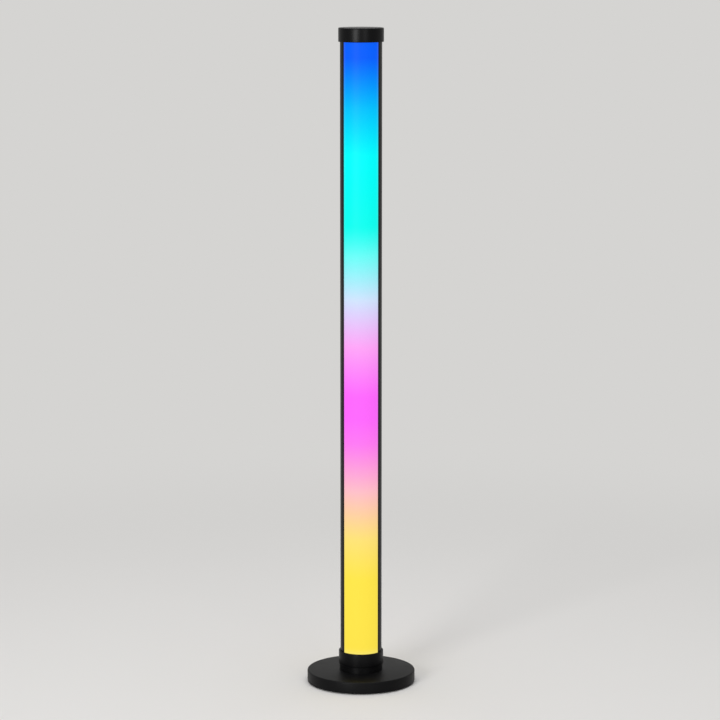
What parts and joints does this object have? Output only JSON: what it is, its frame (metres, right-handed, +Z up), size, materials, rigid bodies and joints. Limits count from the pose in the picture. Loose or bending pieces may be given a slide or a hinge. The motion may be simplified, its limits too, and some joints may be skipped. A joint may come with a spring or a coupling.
{
  "type": "corner floor lamp",
  "caption": "Slim round column floor lamp, lit front and rear between two black rails, with a black cap and collar on a necked disc base, a rear power inlet and a push button.",
  "frame": {"origin": "on the floor under the middle of the base, where the rubber feet stand", "axes": "+Z up the column; +Y towards the rear, out of the power inlet; the front window faces -Y"},
  "size_m": [0.165, 0.165, 1],
  "materials": {
    "satin_black_steel": "satin black powder coat",
    "satin_black_plastic": "satin black, fine texture",
    "black_aluminium": "satin black anodised",
    "lit_opal": "satin opal acrylic, lit from behind",
    "cast_weight": "as cast, dark primer",
    "black_plate": "matte black",
    "foot_rubber": "matte",
    "zinc_screw": "zinc plated",
    "steel_screw": "plain steel",
    "insert_brass": "turned",
    "white_board": "white solder mask",
    "green_board": "green solder mask",
    "led_package": "white package with a yellow phosphor well",
    "chip_black": "moulded epoxy",
    "shield_can": "satin",
    "nylon_white": "natural nylon",
    "lead_red": "insulated wire",
    "inlet_black": "moulded black",
    "contact_metal": "nickel plated",
    "button_black": "satin"
  },
  "bodies": {
    "lamp": {"base_shell": "satin_black_steel", "base_weight": "cast_weight", "base_plate": "black_plate", "rubber_feet": "foot_rubber", "plate_screws": "zinc_screw", "neck": "satin_black_plastic", "column_screws": "steel_screw", "column_washers": "zinc_screw", "collar": "satin_black_plastic", "threaded_inserts": "insert_brass", "collar_screws": "zinc_screw", "column_spine": "black_aluminium", "front_diffuser": "lit_opal", "rear_diffuser": "lit_opal", "front_led_board": "white_board", "rear_led_board": "white_board", "front_leds": "led_package", "rear_leds": "led_package", "front_zone_chips": "chip_black", "rear_zone_chips": "chip_black", "front_leads": "lead_red", "rear_leads": "lead_red", "control_board": "green_board", "board_screws": "zinc_screw", "wireless_module": "shield_can", "driver_chips": "chip_black", "choke": "chip_black", "smoothing_capacitor": "shield_can", "lead_sockets": "nylon_white", "inlet_socket": "inlet_black", "inlet_pin": "contact_metal", "inlet_nut": "contact_metal", "inlet_tabs": "contact_metal", "inlet_leads": "lead_red", "button_switch": "chip_black", "top_cap": "satin_black_plastic", "cap_screws": "zinc_screw", "top_cover": "satin_black_plastic"},
    "button": {"power_button": "button_black", "switch_plunger": "nylon_white"}
  },
  "joints": [
    {"name": "button_press", "type": "slide", "parent": "lamp", "child": "button", "axis": [-0.5736, -0.8192, 0], "range_m": [0, 0.0005], "stiffness_N_per_m": 1200, "springref_m": -0.0008}
  ]
}
